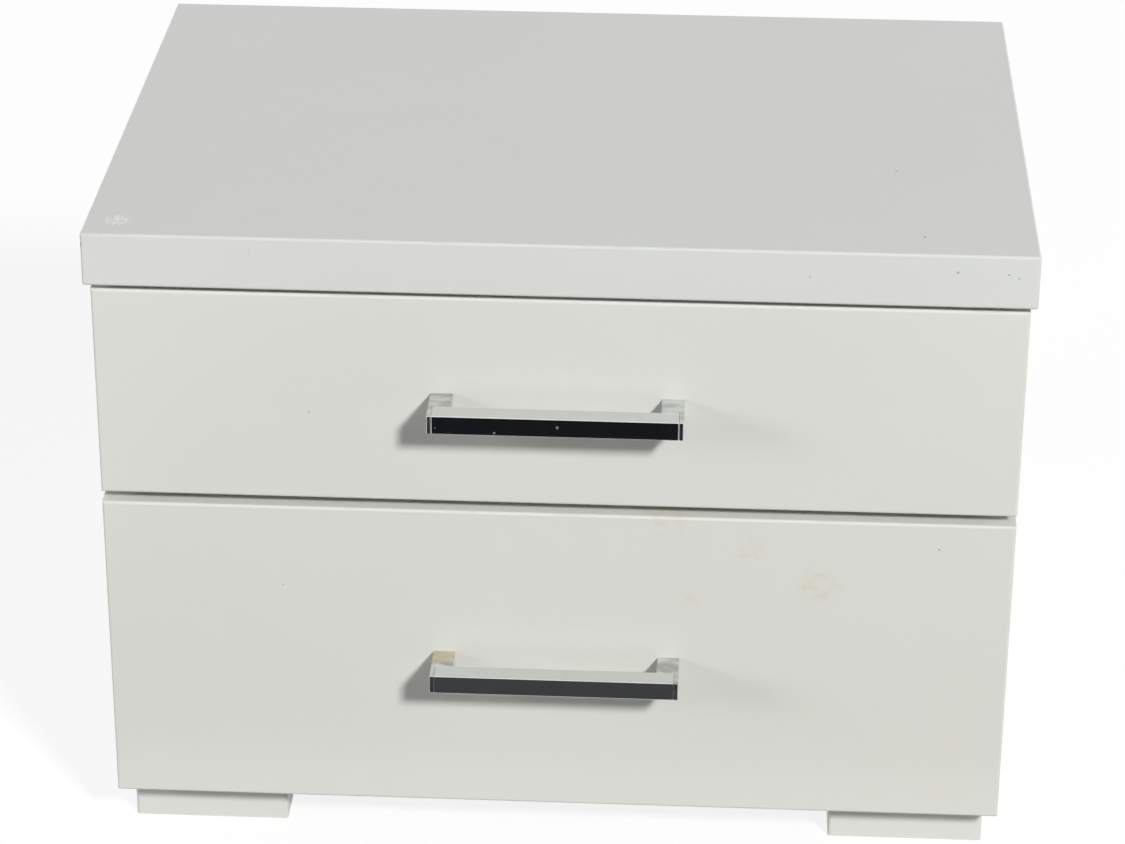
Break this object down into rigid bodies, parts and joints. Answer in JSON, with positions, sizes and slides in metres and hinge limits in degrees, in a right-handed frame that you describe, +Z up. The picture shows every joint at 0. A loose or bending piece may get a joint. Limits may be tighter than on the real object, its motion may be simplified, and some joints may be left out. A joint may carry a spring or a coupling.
{
  "type": "side table",
  "caption": "Low white side table with drawers on roller runners, chrome bar handles, a thick overhanging top and block feet.",
  "frame": {"origin": "on the floor under the middle of the whole object's bounding box, handles included", "axes": "+X along the width to the viewer's right, +Y from the drawer fronts to the back, +Z up"},
  "size_m": [0.52, 0.395, 0.384],
  "materials": {
    "top_white_lacquer": "white satin-gloss lacquered board",
    "front_white_lacquer": "white satin-gloss lacquered board",
    "case_white_foil": "white melamine-faced chipboard",
    "foot_white_foil": "white foil on board",
    "drawer_white_foil": "white foil on chipboard",
    "white_hardboard": "white-painted hardboard",
    "polished_chrome": "polished chrome plate",
    "white_runner_enamel": "white epoxy enamel on sheet steel",
    "white_nylon": "white nylon",
    "beech": "fluted beech dowel, plain",
    "zinc_casting": "bare zinc die casting",
    "zinc_plated_steel": "bright zinc plate"
  },
  "bodies": {
    "case": {"back_panel": "white_hardboard", "bottom_panel": "case_white_foil", "cabinet_roller_rivets": "zinc_plated_steel", "cabinet_runner_screws": "zinc_plated_steel", "case_cam_bolts": "zinc_plated_steel", "case_cam_discs": "zinc_casting", "case_dowels": "beech", "foot_front_left": "foot_white_foil", "foot_front_right": "foot_white_foil", "foot_rear_left": "foot_white_foil", "foot_rear_right": "foot_white_foil", "foot_screws": "zinc_plated_steel", "lower_cabinet_runner_left": "white_runner_enamel", "lower_cabinet_runner_right": "white_runner_enamel", "side_panel_left": "case_white_foil", "side_panel_right": "case_white_foil", "top_panel": "top_white_lacquer", "upper_cabinet_runner_left": "white_runner_enamel", "upper_cabinet_runner_right": "white_runner_enamel"},
    "upper_drawer": {"upper_drawer_back": "drawer_white_foil", "upper_drawer_bottom": "white_hardboard", "upper_drawer_cam_bolts": "zinc_plated_steel", "upper_drawer_cam_discs": "zinc_casting", "upper_drawer_dowels": "beech", "upper_drawer_front": "front_white_lacquer", "upper_drawer_roller_rivets": "zinc_plated_steel", "upper_drawer_runner_left": "white_runner_enamel", "upper_drawer_runner_right": "white_runner_enamel", "upper_drawer_runner_screws": "zinc_plated_steel", "upper_drawer_side_left": "drawer_white_foil", "upper_drawer_side_right": "drawer_white_foil", "upper_handle_bar": "polished_chrome", "upper_handle_end_left": "polished_chrome", "upper_handle_end_right": "polished_chrome", "upper_handle_screws": "zinc_plated_steel"},
    "lower_drawer": {"lower_drawer_back": "drawer_white_foil", "lower_drawer_bottom": "white_hardboard", "lower_drawer_cam_bolts": "zinc_plated_steel", "lower_drawer_cam_discs": "zinc_casting", "lower_drawer_dowels": "beech", "lower_drawer_front": "front_white_lacquer", "lower_drawer_roller_rivets": "zinc_plated_steel", "lower_drawer_runner_left": "white_runner_enamel", "lower_drawer_runner_right": "white_runner_enamel", "lower_drawer_runner_screws": "zinc_plated_steel", "lower_drawer_side_left": "drawer_white_foil", "lower_drawer_side_right": "drawer_white_foil", "lower_handle_bar": "polished_chrome", "lower_handle_end_left": "polished_chrome", "lower_handle_end_right": "polished_chrome", "lower_handle_screws": "zinc_plated_steel"},
    "upper_front_roller_left": {"upper_front_roller_left": "white_nylon"},
    "upper_rear_roller_left": {"upper_rear_roller_left": "white_nylon"},
    "upper_front_roller_right": {"upper_front_roller_right": "white_nylon"},
    "upper_rear_roller_right": {"upper_rear_roller_right": "white_nylon"},
    "lower_front_roller_left": {"lower_front_roller_left": "white_nylon"},
    "lower_rear_roller_left": {"lower_rear_roller_left": "white_nylon"},
    "lower_front_roller_right": {"lower_front_roller_right": "white_nylon"},
    "lower_rear_roller_right": {"lower_rear_roller_right": "white_nylon"}
  },
  "joints": [
    {"name": "upper_drawer_slide", "type": "slide", "parent": "case", "child": "upper_drawer", "axis": [0, -1, 0], "range_m": [0, 0.22]},
    {"name": "lower_drawer_slide", "type": "slide", "parent": "case", "child": "lower_drawer", "axis": [0, -1, 0], "range_m": [0, 0.22]},
    {"name": "upper_front_roller_left_spin", "type": "hinge", "parent": "case", "child": "upper_front_roller_left", "pos_m": [-0.2349, -0.1405, 0.2418], "axis": [1, 0, 0], "continuous": true},
    {"name": "upper_rear_roller_left_spin", "type": "hinge", "parent": "upper_drawer", "child": "upper_rear_roller_left", "pos_m": [-0.2336, 0.1375, 0.2418], "axis": [1, 0, 0], "continuous": true},
    {"name": "upper_front_roller_right_spin", "type": "hinge", "parent": "case", "child": "upper_front_roller_right", "pos_m": [0.2349, -0.1405, 0.2418], "axis": [1, 0, 0], "continuous": true},
    {"name": "upper_rear_roller_right_spin", "type": "hinge", "parent": "upper_drawer", "child": "upper_rear_roller_right", "pos_m": [0.2336, 0.1375, 0.2418], "axis": [1, 0, 0], "continuous": true},
    {"name": "lower_front_roller_left_spin", "type": "hinge", "parent": "case", "child": "lower_front_roller_left", "pos_m": [-0.2349, -0.1405, 0.0595], "axis": [1, 0, 0], "continuous": true},
    {"name": "lower_rear_roller_left_spin", "type": "hinge", "parent": "lower_drawer", "child": "lower_rear_roller_left", "pos_m": [-0.2336, 0.1375, 0.0595], "axis": [1, 0, 0], "continuous": true},
    {"name": "lower_front_roller_right_spin", "type": "hinge", "parent": "case", "child": "lower_front_roller_right", "pos_m": [0.2349, -0.1405, 0.0595], "axis": [1, 0, 0], "continuous": true},
    {"name": "lower_rear_roller_right_spin", "type": "hinge", "parent": "lower_drawer", "child": "lower_rear_roller_right", "pos_m": [0.2336, 0.1375, 0.0595], "axis": [1, 0, 0], "continuous": true}
  ],
  "couplings": [
    {"joint": "upper_front_roller_left_spin", "follows": "upper_drawer_slide", "rad_per_m": 125},
    {"joint": "upper_rear_roller_left_spin", "follows": "upper_drawer_slide", "rad_per_m": 125},
    {"joint": "upper_front_roller_right_spin", "follows": "upper_drawer_slide", "rad_per_m": 125},
    {"joint": "upper_rear_roller_right_spin", "follows": "upper_drawer_slide", "rad_per_m": 125},
    {"joint": "lower_front_roller_left_spin", "follows": "lower_drawer_slide", "rad_per_m": 125},
    {"joint": "lower_rear_roller_left_spin", "follows": "lower_drawer_slide", "rad_per_m": 125},
    {"joint": "lower_front_roller_right_spin", "follows": "lower_drawer_slide", "rad_per_m": 125},
    {"joint": "lower_rear_roller_right_spin", "follows": "lower_drawer_slide", "rad_per_m": 125}
  ]
}
